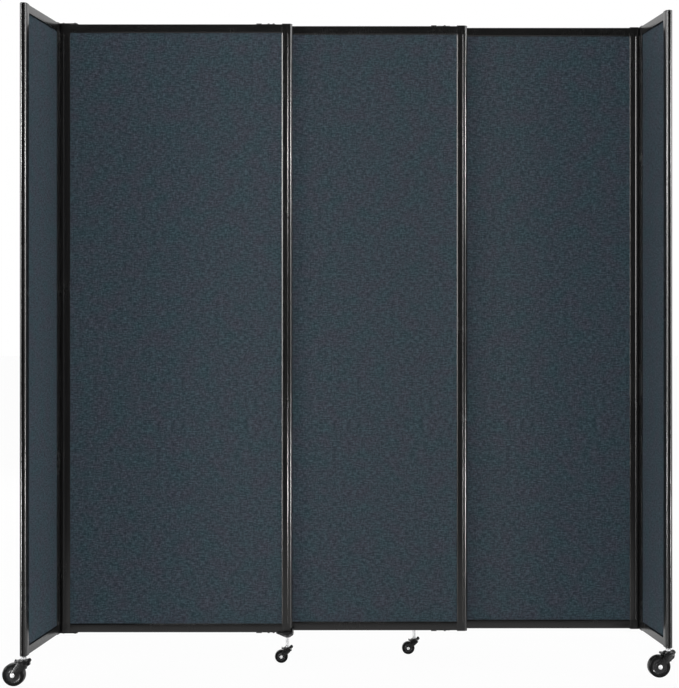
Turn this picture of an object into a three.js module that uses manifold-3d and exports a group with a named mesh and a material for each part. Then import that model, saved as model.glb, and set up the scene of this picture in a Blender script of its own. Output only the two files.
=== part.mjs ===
// A rolling privacy screen. Three tall panels slide past each other on rail guides, and a narrow
// wing is hinged to each end. It rolls on four swivel casters with brake levers.
// Millimetres, +Z up, X along the wall, Y from the front panel towards the rear one.
import * as THREE from "three";
import { mergeVertices } from "three/addons/utils/BufferGeometryUtils.js";
import Module from "manifold-3d";

const wasm = await Module();
wasm.setup();

// The wall
const panelWidth = 836; // one sliding panel
const panelOverlap = 205; // what two neighbours share when the wall is drawn out
const panelSpacing = 36; // from one panel's middle plane to the next
// The wings lean outwards, past square. Their casters stand as they were left, turned from straight.
const degrees = THREE.MathUtils.degToRad;
const leftWing = { width: 406, lean: degrees(6.2), casterTurn: degrees(-6) };
const rightWing = { width: 344, lean: degrees(5.8), casterTurn: degrees(6) };
const frameTop = 2286; // above the floor
const frameBottom = 103; // above the floor
const fit = 0.3; // between pieces that touch

// The frame's extrusions
const frameDepth = 24; // front to back
const stileWidth = 38;
const railWidth = 31;
const lipSlope = 4; // the sloped edge beside the fabric
const boardDepth = 14; // the fabric covered board, front to back
const channelDepth = 12.5; // takes the board's edge
const webWall = 2.5; // between channel, chamber and groove
const noseGrooveWidth = 5;
const noseGrooveDepth = 8;
const faceGrooveWidth = 2.4; // the line along the face of a stile
const faceGrooveDepth = 1;
const chamberWall = 3; // beside a hollow
const railEdge = 1.5; // the rail's outer corners
const guideGrooveWidth = 4;
const guideGrooveDepth = 7;
const guideGroovePlace = 6; // from the rail's middle to each groove
const capThickness = 3; // the plug at each end of a stile
const noseSteps = 4; // facets on each quarter of a nose

// The wing hinges
const hingeReach = 6; // from the hinge axis to each nose
const barrelDiameter = 9;
const pinDiameter = 4.4;
const leafNeck = 2.4; // the leaf between barrel and nose
const knucklePairs = 10; // along one hinge
const knuckleGap = 0.6;
const runningGap = 0.5; // between the barrel and the other leaf
const barrelSteps = 8;

// The strap over the front panel's hinge, above and below
const strapInboard = 64; // from the panel's edge along its rail
const strapOutboard = 31; // from the panel's edge past the hinge
const strapDepth = 20;
const strapThickness = 4;
const strapHoleDiameter = 5.4;

// The sliding guides
const guideRib = 3.4; // the tongue in a rail groove
const guideRibDrop = 6;
const guidePlateDepth = 34; // across both rails
const guideCorner = 2;
const thinGuide = { length: 46.5, fromEdge: 62, thickness: 3 };
const tallGuide = { length: 20, fromEdge: 75, thickness: 5 };

// The casters, from the floor up
const endCaster = {
  wheelDiameter: 76,
  wheelWidth: 30,
  hubDiameter: 30,
  treadEdge: 5,
  rimRecess: 4,
  tyreThickness: 11,
  axleDiameter: 10,
  axleEnd: 4,
  trail: 33.5,
  armThickness: 3,
  armBack: 16,
  armFoot: 18,
  crownBack: 30,
  crownCorner: 9,
  crownRise: 4,
  crownThickness: 4,
  tabWidth: 12,
  tabRise: 4,
  tabThickness: 3,
  bellDiameter: 36, // the raised housing of the swivel
  bellRise: 5,
  stemDiameter: 10,
  stemLength: 29,
  collarDiameter: 18,
  collarThickness: 8,
  headDiameter: 15,
  headThickness: 3,
  leverBarrel: 8,
  leverPin: 4,
  leverForward: 11,
  leverEar: 5.5,
  leverWidth: 16,
  leverThickness: 3,
  knobDiameter: 13.6,
  knobForward: 0.8,
  knobRise: 1.5,
  padGap: 0.6,
};
const midCaster = {
  wheelDiameter: 46,
  wheelWidth: 18,
  hubDiameter: 17,
  treadEdge: 3,
  rimRecess: 2.5,
  tyreThickness: 7,
  axleDiameter: 7,
  axleEnd: 3,
  trail: 21.5,
  armThickness: 2.5,
  armBack: 11,
  armFoot: 12,
  crownBack: 21,
  crownCorner: 6,
  crownRise: 4,
  crownThickness: 3,
  tabWidth: 8,
  tabRise: 3,
  tabThickness: 2.4,
  bellDiameter: 24,
  bellRise: 4,
  stemDiameter: 11,
  stemLength: 36,
  collarDiameter: 14,
  collarThickness: 4,
  headDiameter: 14,
  headThickness: 2.4,
  leverBarrel: 6,
  leverPin: 3,
  leverForward: 7,
  leverEar: 4.2,
  leverWidth: 10,
  leverThickness: 2.4,
  knobDiameter: 11.2,
  knobForward: 3,
  knobRise: 4.5,
  padGap: 0.5,
};
const sideGap = 1.2; // between a wheel and each arm of its fork
const bore = 0.35; // round an axle, a stem or a pin
const leverSide = 0.8; // between the lever and each arm
const padTurn = THREE.MathUtils.degToRad(25); // how far a brake lever turns
const wheelSteps = 24;
const roundSteps = 12;

// The brackets that hold the middle casters out from the panels
const bracket = {
  inboard: 58, // along the panel from its edge
  outboard: 4.5, // past the panel's edge
  plate: 4,
  boss: 22,
  bossDrop: 15,
  stemFromEdge: 16,
  stemOut: 25,
  noseHalf: 7, // half the flat end in front of the stem
  noseOut: 13, // from the stem to that end
  under: 20,
  lip: 3,
  lipInside: 6, // the lip's low corner, inside the panel's edge
  cheekDepth: 17,
  cheekRise: 14,
};

// Worked out from the sizes above
const frameHeight = frameTop - frameBottom;
const halfDepth = frameDepth / 2;
const pitch = panelWidth - panelOverlap;
const boardChannel = boardDepth + 2 * fit;
const chamberStart = channelDepth + webWall;
const chamberEnd = stileWidth - noseGrooveDepth - webWall;
const chamberMiddle = (chamberStart + chamberEnd) / 2;

// Materials
const frameBlack = new THREE.MeshStandardMaterial({ color: 0x1c1b1b, roughness: 0.25, metalness: 0.6 });
const fabricSlate = new THREE.MeshStandardMaterial({ color: 0x343e45, roughness: 0.95, metalness: 0 });
const nylonBlack = new THREE.MeshStandardMaterial({ color: 0x191919, roughness: 0.6, metalness: 0 });
const forkBlack = new THREE.MeshStandardMaterial({ color: 0x242424, roughness: 0.5, metalness: 0.2 });
const tyreBlack = new THREE.MeshStandardMaterial({ color: 0x202021, roughness: 0.7, metalness: 0 });
const chrome = new THREE.MeshStandardMaterial({ color: 0xc9cbcd, roughness: 0.2, metalness: 1 });

// Joining and cutting

function solidOf(geometry) {
  const plain = geometry.clone();
  plain.deleteAttribute("normal");
  plain.deleteAttribute("uv");
  const merged = mergeVertices(plain, 1e-4);
  const made = new wasm.Manifold(
    new wasm.Mesh({
      numProp: 3,
      vertProperties: new Float32Array(merged.attributes.position.array),
      triVerts: new Uint32Array(merged.index.array),
    }),
  );
  return made;
}

function geometryOf(solid) {
  const mesh = solid.getMesh();
  const geometry = new THREE.BufferGeometry();
  geometry.setAttribute("position", new THREE.BufferAttribute(new Float32Array(mesh.vertProperties), 3));
  geometry.setIndex(new THREE.BufferAttribute(new Uint32Array(mesh.triVerts), 1));
  const flat = geometry.toNonIndexed();
  flat.computeVertexNormals();
  return flat;
}

function join(...geometries) {
  const solids = geometries.map(solidOf);
  const all = solids.reduce((sum, next) => sum.add(next));
  return geometryOf(all);
}

function cut(geometry, ...tools) {
  const rest = tools.map(solidOf).reduce((left, tool) => left.subtract(tool), solidOf(geometry));
  return geometryOf(rest);
}

// A length of an outline between two heights. Both ends get their exact height, so that lengths
// that stand on each other meet.
function run(shape, low, high) {
  const options = { depth: high - low, bevelEnabled: false, curveSegments: noseSteps };
  const made = new THREE.ExtrudeGeometry(shape, options);
  const place = made.attributes.position;
  for (let i = 0; i < place.count; i += 1) place.setZ(i, place.getZ(i) > (high - low) / 2 ? high : low);
  return made;
}

// A prism along +Z that stands on the outline's plane.
function prism(shape, height, from = 0) {
  return run(shape, from, from + height);
}

// A prism whose outline lies in X and Z, running along +Y from the given place.
function sidePrism(shape, depth, from) {
  return prism(shape, depth).rotateX(Math.PI / 2).translate(0, from + depth, 0);
}

function shapeOf(points) {
  return new THREE.Shape(points.map(([x, y]) => new THREE.Vector2(x, y)));
}

function block(x0, x1, y0, y1, z0, z1) {
  const box = new THREE.BoxGeometry(x1 - x0, y1 - y0, z1 - z0);
  return box.translate((x0 + x1) / 2, (y0 + y1) / 2, (z0 + z1) / 2);
}

// A round bar along Z between two heights.
function bar(diameter, z0, z1, steps = roundSteps) {
  const round = new THREE.CylinderGeometry(diameter / 2, diameter / 2, z1 - z0, steps);
  return round.rotateX(Math.PI / 2).translate(0, 0, (z0 + z1) / 2);
}

// A round bar along Y, centred at a place in X and Z.
function crossBar(diameter, length, x, z, steps = roundSteps) {
  return new THREE.CylinderGeometry(diameter / 2, diameter / 2, length, steps).translate(x, 0, z);
}

function meshOf(name, geometry, material) {
  const mesh = new THREE.Mesh(geometry, material);
  mesh.name = name;
  return mesh;
}

// The outlines of the extrusions. The first number runs from the fabric edge outwards, and the
// second runs through the frame's depth.

function lipPoints(slope) {
  return [
    [0, -halfDepth + slope],
    [slope, -halfDepth],
  ];
}

function channelPoints() {
  const half = boardChannel / 2;
  return [
    [0, half],
    [channelDepth, half],
    [channelDepth, -half],
    [0, -half],
  ];
}

function facePoints() {
  const middle = chamberMiddle;
  const half = faceGrooveWidth / 2;
  return [
    [middle - half, -halfDepth],
    [middle, -halfDepth + faceGrooveDepth],
    [middle + half, -halfDepth],
  ];
}

// The lower half of a grooved round nose, from the face to the bottom of its groove.
function nosePoints() {
  const centre = stileWidth - halfDepth;
  const half = noseGrooveWidth / 2;
  const last = Math.asin(half / halfDepth);
  const points = [];
  for (let k = 0; k <= noseSteps; k += 1) {
    const angle = -Math.PI / 2 + ((Math.PI / 2 - last) * k) / noseSteps;
    points.push([centre + halfDepth * Math.cos(angle), halfDepth * Math.sin(angle)]);
  }
  points.push([stileWidth - noseGrooveDepth, -half]);
  return points;
}

function mirrored(points) {
  return points.map(([x, y]) => [x, -y]).reverse();
}

function stileShape(slope, open) {
  const front = [...lipPoints(slope), ...facePoints(), ...nosePoints()];
  const channel = open ? channelPoints() : [];
  const shape = shapeOf([...front, ...mirrored(front), ...channel]);
  if (!open) return shape;
  const half = halfDepth - chamberWall;
  shape.holes.push(
    new THREE.Path([
      new THREE.Vector2(chamberStart, -half),
      new THREE.Vector2(chamberStart, half),
      new THREE.Vector2(chamberEnd, half),
      new THREE.Vector2(chamberEnd, -half),
    ]),
  );
  return shape;
}

function railShape() {
  const near = guideGroovePlace - guideGrooveWidth / 2;
  const far = guideGroovePlace + guideGrooveWidth / 2;
  const floor = railWidth - guideGrooveDepth;
  const front = [
    ...lipPoints(lipSlope),
    [railWidth - railEdge, -halfDepth],
    [railWidth, -halfDepth + railEdge],
    [railWidth, -far],
    [floor, -far],
    [floor, -near],
    [railWidth, -near],
  ];
  const shape = shapeOf([...front, ...mirrored(front), ...channelPoints()]);
  const half = halfDepth - chamberWall;
  shape.holes.push(
    new THREE.Path([
      new THREE.Vector2(chamberStart, -half),
      new THREE.Vector2(chamberStart, half),
      new THREE.Vector2(floor - webWall, half),
      new THREE.Vector2(floor - webWall, -half),
    ]),
  );
  return shape;
}

// A stile with its nose towards +X and its fabric edge at X = 0. Beside the rails its lips are
// square, a plug closes each end, and the lower plug has the socket for a stem.
function stileGeometry(socketDiameter) {
  const lowEnd = frameBottom + railWidth;
  const highEnd = frameTop - railWidth;
  const square = fit; // the lip beside a rail
  const made = join(
    run(stileShape(lipSlope, true), lowEnd, highEnd),
    run(stileShape(square, true), frameBottom, lowEnd),
    run(stileShape(square, true), highEnd, frameTop),
    run(stileShape(square, false), frameBottom, frameBottom + capThickness),
    run(stileShape(square, false), frameTop - capThickness, frameTop),
  );
  const socket = bar(socketDiameter, -capThickness, 2 * capThickness);
  return cut(made, socket.translate(chamberMiddle, 0, frameBottom));
}

// A rail of a given length along X, centred, with its fabric edge down and its outer edge at Z = 0.
function railGeometry(length) {
  const rail = run(railShape(), -length / 2, length / 2);
  // The outline's first number turns to +Z, its second to +Y and the length to +X.
  const turn = new THREE.Matrix4().makeBasis(
    new THREE.Vector3(0, 0, 1),
    new THREE.Vector3(0, 1, 0),
    new THREE.Vector3(-1, 0, 0),
  );
  return rail.applyMatrix4(turn).translate(0, 0, -railWidth);
}

const casterSocket = endCaster.stemDiameter + 2 * bore;
const plainStile = stileGeometry(casterSocket);

// One framed panel from X = 0 to its width, around Y = 0.
function framedPanel(name, width) {
  const group = new THREE.Group();
  const left = meshOf(name + "_stile_left", plainStile.clone(), frameBlack);
  left.rotation.z = Math.PI;
  left.position.x = stileWidth;
  const right = meshOf(name + "_stile_right", plainStile.clone(), frameBlack);
  right.position.x = width - stileWidth;
  const railLength = width - 2 * (stileWidth + fit);
  const top = meshOf(name + "_rail_top", railGeometry(railLength), frameBlack);
  top.position.set(width / 2, 0, frameTop);
  const bottom = meshOf(name + "_rail_bottom", railGeometry(railLength), frameBlack);
  bottom.rotation.x = Math.PI;
  bottom.position.set(width / 2, 0, frameBottom);
  const side = stileWidth - channelDepth + fit;
  const end = railWidth - channelDepth + fit;
  const board = meshOf(name + "_fabric_board", boardGeometry(width - 2 * side, frameHeight - 2 * end), fabricSlate);
  board.position.set(width / 2, 0, frameBottom + frameHeight / 2);
  group.add(left, right, top, bottom, board);
  return group;
}

function boardGeometry(width, height) {
  return new THREE.BoxGeometry(width, boardDepth, height);
}

// Hinges. The axis is at X = 0 and the leaf runs towards +X into a nose groove.

const knuckle = frameHeight / (2 * knucklePairs);

function knuckleSpans(first) {
  const spans = [];
  for (let k = first; k < 2 * knucklePairs; k += 2) {
    const low = frameBottom + k * knuckle;
    spans.push([low + knuckleGap / 2, low + knuckle - knuckleGap / 2]);
  }
  return spans;
}

function leafStrip() {
  const foot = noseGrooveWidth / 2 - fit;
  const neck = leafNeck / 2;
  const start = barrelDiameter / 2 + runningGap;
  const mouth = hingeReach + halfDepth - Math.sqrt(halfDepth ** 2 - (noseGrooveWidth / 2) ** 2);
  const end = hingeReach + noseGrooveDepth - fit;
  const outline = [
    [start, -neck],
    [mouth, -neck],
    [mouth, -foot],
    [end, -foot],
  ];
  return prism(shapeOf([...outline, ...mirrored(outline)]), frameHeight, frameBottom);
}

function knuckles(spans) {
  const neck = leafNeck / 2;
  const reach = hingeReach;
  return spans.flatMap(([low, high]) => [
    bar(barrelDiameter, low, high, barrelSteps),
    block(0, reach, -neck, neck, low, high),
  ]);
}

function pinnedLeaf(pinBelow, pinAbove) {
  const pin = bar(pinDiameter, frameBottom - pinBelow, frameTop + pinAbove, barrelSteps);
  return join(leafStrip(), ...knuckles(knuckleSpans(0)), pin);
}

function boredLeaf() {
  const hole = bar(pinDiameter + 2 * bore, frameBottom - railWidth, frameTop + railWidth, barrelSteps);
  return cut(join(leafStrip(), ...knuckles(knuckleSpans(1))), hole);
}

// The strap: a flat bar on the end of the panel whose hole takes the end of the hinge pin. It lies
// on Z = 0, with the panel's edge at X = 0 and the panel towards +X.
function strapGeometry() {
  const half = strapDepth / 2;
  const outer = -strapOutboard + half;
  const shape = new THREE.Shape();
  shape.moveTo(strapInboard, -half);
  shape.lineTo(strapInboard, half);
  shape.lineTo(outer, half);
  shape.absarc(outer, 0, half, Math.PI / 2, (3 * Math.PI) / 2, false);
  shape.closePath();
  const hole = bar(strapHoleDiameter, -strapThickness, 2 * strapThickness, barrelSteps);
  return cut(prism(shape, strapThickness), hole.translate(-hingeReach, 0, 0));
}

// Sliding guides: a plate over two neighbouring rails with a rib down into a groove of each. Its
// length runs along +X from X = 0, the gap between the rails is at Y = 0, and it lies on Z = 0.
function guideGeometry(size) {
  const half = guidePlateDepth / 2;
  const place = panelSpacing / 2 - guideGroovePlace;
  const rib = guideRib / 2;
  const tip = rib / 2;
  const foot = -guideRibDrop;
  const drop = foot + rib;
  const top = size.thickness;
  const right = [
    [place - rib, 0],
    [place - rib, drop],
    [place - tip, foot],
    [place + tip, foot],
    [place + rib, drop],
    [place + rib, 0],
    [half, 0],
    [half, top - guideCorner],
    [half - guideCorner, top],
  ];
  const left = right.map(([x, y]) => [-x, y]).reverse();
  const turn = new THREE.Matrix4().makeBasis(
    new THREE.Vector3(0, 1, 0),
    new THREE.Vector3(0, 0, 1),
    new THREE.Vector3(1, 0, 0),
  );
  return prism(shapeOf([...right, ...left]), size.length).applyMatrix4(turn);
}

// Casters. The stem's axis is at X = 0, the wheel trails towards -X, and the floor is Z = 0.

function casterPlaces(c) {
  const radius = c.wheelDiameter / 2;
  const crownLow = c.wheelDiameter + c.crownRise;
  const crownHigh = crownLow + c.crownThickness;
  const inside = c.wheelWidth / 2 + sideGap;
  const bellHigh = crownHigh + c.bellRise;
  const headLow = crownLow - fit - c.headThickness;
  const pivotX = c.leverForward;
  const pivotZ = headLow - c.leverBarrel / 2 - sideGap;
  const front = pivotX + c.leverEar;
  const knobX = front + c.knobForward;
  const knobZ = crownHigh + c.knobRise;
  const toWheel = Math.hypot(pivotX + c.trail, pivotZ - radius);
  const aim = Math.atan2(radius - pivotZ, -c.trail - pivotX);
  return {
    radius,
    crownLow,
    crownHigh,
    bellHigh,
    inside,
    headLow,
    pivotX,
    pivotZ,
    front,
    knobX,
    knobZ,
    toWheel,
    aim,
  };
}

function stemGeometry(c) {
  const p = casterPlaces(c);
  const thin = c.stemDiameter / 2;
  const collarLow = p.bellHigh + fit;
  const collarHigh = collarLow + c.collarThickness;
  const headHigh = p.headLow + c.headThickness;
  const points = [
    [0, p.headLow],
    [c.headDiameter / 2, p.headLow],
    [c.headDiameter / 2, headHigh],
    [thin, headHigh],
    [thin, collarLow],
    [c.collarDiameter / 2, collarLow],
    [c.collarDiameter / 2, collarHigh],
    [thin, collarHigh],
    [thin, collarHigh + c.stemLength],
    [0, collarHigh + c.stemLength],
  ];
  return turned(points, roundSteps);
}

// An outline in radius and height, turned round Z.
function turned(points, steps) {
  const vectors = points.map(([r, z]) => new THREE.Vector2(r, z));
  return new THREE.LatheGeometry(vectors, steps).rotateX(Math.PI / 2);
}

function armShape(c) {
  const p = casterPlaces(c);
  const ear = c.leverEar * Math.SQRT1_2;
  const foot = c.armFoot / 2;
  const slant = Math.atan2(p.radius - p.crownHigh, -c.trail);
  const side = slant + Math.PI / 2;
  const shape = new THREE.Shape();
  shape.moveTo(p.front, p.crownHigh);
  shape.lineTo(-c.armBack, p.crownHigh);
  shape.absarc(-c.trail, p.radius, foot, side + Math.PI, side + 2 * Math.PI, false);
  shape.lineTo(p.pivotX + ear, p.pivotZ - ear);
  shape.lineTo(p.front, p.pivotZ);
  shape.closePath();
  return shape;
}

// The crown's plan: a plate with cut corners that reaches back over the wheel.
function crownShape(c, outside) {
  const front = casterPlaces(c).front;
  const corner = c.crownCorner;
  const half = [
    [-c.crownBack, outside - corner],
    [-c.crownBack + corner, outside],
    [front - corner, outside],
    [front, outside - corner],
  ];
  return shapeOf([...half, ...mirrored(half)]);
}

function forkGeometry(c) {
  const p = casterPlaces(c);
  const outside = p.inside + c.armThickness;
  const crown = prism(crownShape(c, outside), c.crownThickness, p.crownLow);
  const arm = armShape(c);
  const axleLength = 2 * (outside + c.axleEnd);
  const tab = block(
    -c.crownBack,
    -c.crownBack + c.tabThickness,
    -c.tabWidth / 2,
    c.tabWidth / 2,
    p.crownLow,
    p.crownHigh + c.tabRise,
  );
  const made = join(
    crown,
    bar(c.bellDiameter, p.crownLow, p.bellHigh),
    tab,
    sidePrism(arm, c.armThickness, p.inside),
    sidePrism(arm, c.armThickness, -outside),
    crossBar(c.axleDiameter, axleLength, -c.trail, p.radius),
    crossBar(c.leverPin, 2 * outside, p.pivotX, p.pivotZ, barrelSteps),
  );
  const hole = bar(c.stemDiameter + 2 * bore, p.crownLow - fit, p.bellHigh + fit);
  const beside = c.leverWidth / 2 + sideGap;
  const behind = p.knobX - c.knobDiameter / 2 - sideGap;
  const reach = Math.max(p.front, c.bellDiameter / 2) + fit;
  const notch = block(behind, reach, -beside, beside, p.crownLow - fit, p.bellHigh + fit);
  return cut(made, join(hole, notch));
}

// The wheel, around its own axle along Y.
function wheelGeometry(c) {
  // The facets touch the true circle, so that one of them lies flat on the floor.
  const outer = c.wheelDiameter / 2 / Math.cos(Math.PI / wheelSteps);
  const half = c.wheelWidth / 2;
  const inner = c.axleDiameter / 2 + bore;
  const hub = c.hubDiameter / 2;
  const rim = outer - c.tyreThickness;
  const web = half - c.rimRecess;
  const edge = c.treadEdge;
  const face = [
    [inner, half],
    [hub, half],
    [hub, web],
    [rim, web],
    [rim, half],
    [outer - edge, half],
    [outer, half - edge],
  ];
  const back = face.map(([r, z]) => [r, -z]).reverse();
  const outline = [...back.reverse(), ...face.reverse(), back[back.length - 1]];
  const closed = [...outline.slice(0, -1), outline[0]];
  return turned(closed, wheelSteps).rotateX(Math.PI / 2).rotateY(Math.PI / wheelSteps);
}

// The brake lever, in the caster's own place: a barrel on the pin, a round pedal that rises in front
// of the crown, and a pad arm that points a little past the wheel's middle until it is pressed.
function leverGeometry(c) {
  const p = casterPlaces(c);
  const half = p.inside - leverSide;
  const thick = c.leverThickness;
  const reach = c.leverEar + sideGap + thick;
  const wide = c.leverWidth / 2;
  const rise = p.knobZ - p.pivotZ;
  const barrel = crossBar(c.leverBarrel, 2 * half, 0, 0, barrelSteps);
  const forward = block(0, reach, -wide, wide, -thick / 2, thick / 2);
  const pedal = block(reach - thick, reach, -wide, wide, -thick / 2, rise);
  const knob = crossBar(c.knobDiameter, c.leverWidth, p.knobX - p.pivotX, rise);
  const padLength = p.toWheel - p.radius - c.padGap;
  const padArm = block(0, padLength, -half, half, -thick / 2, thick / 2);
  const pad = block(padLength - thick, padLength, -half, half, -thick, thick);
  const aimed = join(padArm, pad).rotateY(-(p.aim + padTurn));
  const made = join(barrel, forward, pedal, knob, aimed);
  const hole = crossBar(c.leverPin + 2 * bore, 4 * half, 0, 0, barrelSteps);
  return cut(made, hole).translate(p.pivotX, 0, p.pivotZ);
}

function caster(name, c) {
  const group = new THREE.Group();
  const p = casterPlaces(c);
  const wheel = meshOf(name + "_wheel", wheelGeometry(c), tyreBlack);
  wheel.position.set(-c.trail, 0, p.radius);
  group.add(
    meshOf(name + "_stem", stemGeometry(c), chrome),
    meshOf(name + "_fork", forkGeometry(c), forkBlack),
    wheel,
    meshOf(name + "_brake_lever", leverGeometry(c), forkBlack),
  );
  return group;
}

// An outline drawn in by a distance, for one that turns to the left all the way round.
function drawnIn(points, distance) {
  return points.map((here, k) => {
    const before = points[(k + points.length - 1) % points.length];
    const after = points[(k + 1) % points.length];
    const [back, on] = [
      [before, here],
      [here, after],
    ].map(([from, to]) => {
      const length = Math.hypot(to[0] - from[0], to[1] - from[1]);
      return [(from[1] - to[1]) / length, (to[0] - from[0]) / length];
    });
    const spread = 1 + back[0] * on[0] + back[1] * on[1];
    return [here[0] + (distance * (back[0] + on[0])) / spread, here[1] + (distance * (back[1] + on[1])) / spread];
  });
}

// The bracket of a middle caster: a plate under the panel's corner, a lip that deepens towards the
// stem, a boss for the stem and a cheek beside the panel. The panel's edge is at X = 0 with the
// panel towards -X, its middle plane at Y = 0 and its underside at Z = 0. The stem is towards -Y.
function bracketGeometry() {
  const b = bracket;
  const stemX = -b.stemFromEdge;
  const stemY = -halfDepth - b.stemOut;
  const noseY = stemY - b.noseOut;
  const low = -b.bossDrop - fit;
  const plan = [
    [-b.inboard, -halfDepth],
    [stemX - b.noseHalf, noseY],
    [stemX + b.noseHalf, noseY],
    [b.outboard, stemY],
    [b.outboard, -halfDepth],
  ];
  const back = b.under - halfDepth;
  const seat = [...plan, [b.outboard, back], [-b.inboard, back]];
  const plate = prism(shapeOf(seat), b.plate, -b.plate - fit);
  const inside = prism(shapeOf(drawnIn(plan, b.lip)), b.bossDrop, low - b.plate);
  const shallow = -b.plate - fit;
  const below = shapeOf([
    [-b.inboard, shallow],
    [-b.inboard, low],
    [-b.inboard, 2 * low],
    [b.outboard, 2 * low],
    [b.outboard, shallow],
    [-b.lipInside, low],
    [stemX - b.noseHalf, low],
  ]);
  const cleared = sidePrism(below, 2 * b.stemOut + 2 * b.noseOut, noseY - b.noseOut);
  const lip = cut(prism(shapeOf(plan), b.bossDrop, low), inside, cleared);
  const boss = bar(b.boss, low, -fit).translate(stemX, stemY, 0);
  const cheek = block(fit, b.outboard, -halfDepth - b.cheekDepth, 0, -b.plate - fit, b.cheekRise);
  const hole = bar(midCaster.stemDiameter + 2 * bore, 2 * low, -low);
  return cut(join(plate, lip, boss, cheek), hole.translate(stemX, stemY, 0));
}

// The whole wall

const wall = new THREE.Group();
wall.name = "rolling_privacy_screen";

const panels = [
  { name: "front", left: -pitch - panelWidth / 2, y: -panelSpacing },
  { name: "middle", left: -panelWidth / 2, y: 0 },
  { name: "rear", left: pitch - panelWidth / 2, y: panelSpacing },
];
for (const panel of panels) {
  const framed = framedPanel(panel.name, panelWidth);
  framed.position.set(panel.left, panel.y, 0);
  wall.add(framed);
}

// Guides at the right end of each nearer panel and the left end of each farther one.
function addGuides(nearer, farther) {
  const nearRight = nearer.left + panelWidth;
  const places = [
    { owner: nearer, x: nearRight - thinGuide.fromEdge - thinGuide.length, size: thinGuide },
    { owner: farther, x: farther.left + tallGuide.fromEdge, size: tallGuide },
  ];
  for (const place of places) {
    for (const level of ["top", "bottom"]) {
      const towards = place.owner === nearer ? farther : nearer;
      const name = place.owner.name + "_guide_over_" + towards.name + "_" + level;
      const guide = meshOf(name, guideGeometry(place.size), nylonBlack);
      const high = level === "top";
      guide.rotation.x = high ? 0 : Math.PI;
      guide.position.set(place.x, (nearer.y + farther.y) / 2, high ? frameTop + fit : frameBottom - fit);
      wall.add(guide);
    }
  }
}
addGuides(panels[0], panels[1]);
addGuides(panels[1], panels[2]);

// The wings, their hinges and end casters. Side -1 is the left end and side +1 the right end.
function addWing(name, panel, side, wing) {
  const edge = side < 0 ? panel.left : panel.left + panelWidth;
  const hinge = new THREE.Group();
  hinge.position.set(edge + side * hingeReach, panel.y, 0);
  const strapped = side < 0;
  const pinRun = strapped ? strapThickness : 0;
  const fixedLeaf = meshOf(name + "_hinge_leaf_on_panel", pinnedLeaf(pinRun, pinRun), frameBlack);
  fixedLeaf.rotation.z = side < 0 ? 0 : Math.PI;
  const swing = new THREE.Group();
  // The wing runs along its own +X. It points to the front and leans outwards.
  swing.rotation.z = -Math.PI / 2 + side * wing.lean;
  const movingLeaf = meshOf(name + "_hinge_leaf_on_wing", boredLeaf(), frameBlack);
  const framed = framedPanel(name, wing.width);
  framed.position.x = hingeReach;
  const wheels = caster(name + "_caster", endCaster);
  wheels.position.x = hingeReach + wing.width - stileWidth + chamberMiddle;
  wheels.rotation.z = wing.casterTurn - swing.rotation.z;
  swing.add(movingLeaf, framed, wheels);
  hinge.add(fixedLeaf, swing);
  wall.add(hinge);
}
addWing("left_wing", panels[0], -1, leftWing);
addWing("right_wing", panels[2], 1, rightWing);

for (const level of ["top", "bottom"]) {
  const strap = meshOf("left_hinge_strap_" + level, strapGeometry(), frameBlack);
  const high = level === "top";
  strap.rotation.x = high ? 0 : Math.PI;
  strap.position.set(panels[0].left, panels[0].y, high ? frameTop + fit : frameBottom - fit);
  wall.add(strap);
}

// The middle casters, one in front of the front panel's right corner and one behind the rear
// panel's left corner.
function addMiddleCaster(name, panel, side) {
  const edge = side < 0 ? panel.left + panelWidth : panel.left;
  const holder = new THREE.Group();
  holder.position.set(edge, panel.y, 0);
  holder.rotation.z = side < 0 ? 0 : Math.PI;
  const arm = meshOf(name + "_bracket", bracketGeometry(), frameBlack);
  arm.position.z = frameBottom;
  const wheels = caster(name, midCaster);
  wheels.position.set(-bracket.stemFromEdge, -halfDepth - bracket.stemOut, 0);
  wheels.rotation.z = -holder.rotation.z;
  holder.add(arm, wheels);
  wall.add(holder);
}
addMiddleCaster("front_caster", panels[0], -1);
addMiddleCaster("rear_caster", panels[2], 1);

// The part's origin is on the floor under the middle of the wall's box.
wall.updateMatrixWorld(true);
const box = new THREE.Box3().setFromObject(wall, true);
const middle = box.getCenter(new THREE.Vector3());
wall.position.set(-middle.x, -middle.y, -box.min.z);

export default wall;
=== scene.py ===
"""A rolling privacy screen of three sliding panels and two hinged wings, dressed over its CAD model."""

import math

import bmesh
import bpy
from mathutils import Matrix, Vector


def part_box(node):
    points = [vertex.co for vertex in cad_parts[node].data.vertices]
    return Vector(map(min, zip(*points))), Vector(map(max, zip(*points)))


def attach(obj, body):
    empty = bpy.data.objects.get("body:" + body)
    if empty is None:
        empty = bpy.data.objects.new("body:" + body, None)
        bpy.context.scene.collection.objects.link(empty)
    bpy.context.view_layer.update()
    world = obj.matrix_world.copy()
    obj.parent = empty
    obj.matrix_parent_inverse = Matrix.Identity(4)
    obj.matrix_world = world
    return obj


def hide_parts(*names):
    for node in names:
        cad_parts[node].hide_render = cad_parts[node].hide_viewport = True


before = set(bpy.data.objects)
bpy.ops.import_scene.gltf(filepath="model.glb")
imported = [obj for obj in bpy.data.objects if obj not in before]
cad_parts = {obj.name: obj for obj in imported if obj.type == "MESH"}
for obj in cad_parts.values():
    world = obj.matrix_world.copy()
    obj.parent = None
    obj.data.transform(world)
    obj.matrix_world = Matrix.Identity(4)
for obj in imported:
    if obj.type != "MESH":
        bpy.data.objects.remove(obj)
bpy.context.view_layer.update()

# Sizes in millimetres, as in the CAD model. Only places in the world are in metres.
MM = 0.001  # a millimetre in metres
POST = 38.0  # width of an upright
RAIL = 31.0  # width of a rail
HALF = 12.0  # half the frame's depth
TOP, BOTTOM = 2286.0, 103.0
GAP = 0.3
PANEL, LEFT_WING, RIGHT_WING = 836.0, 406.0, 344.0
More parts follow.
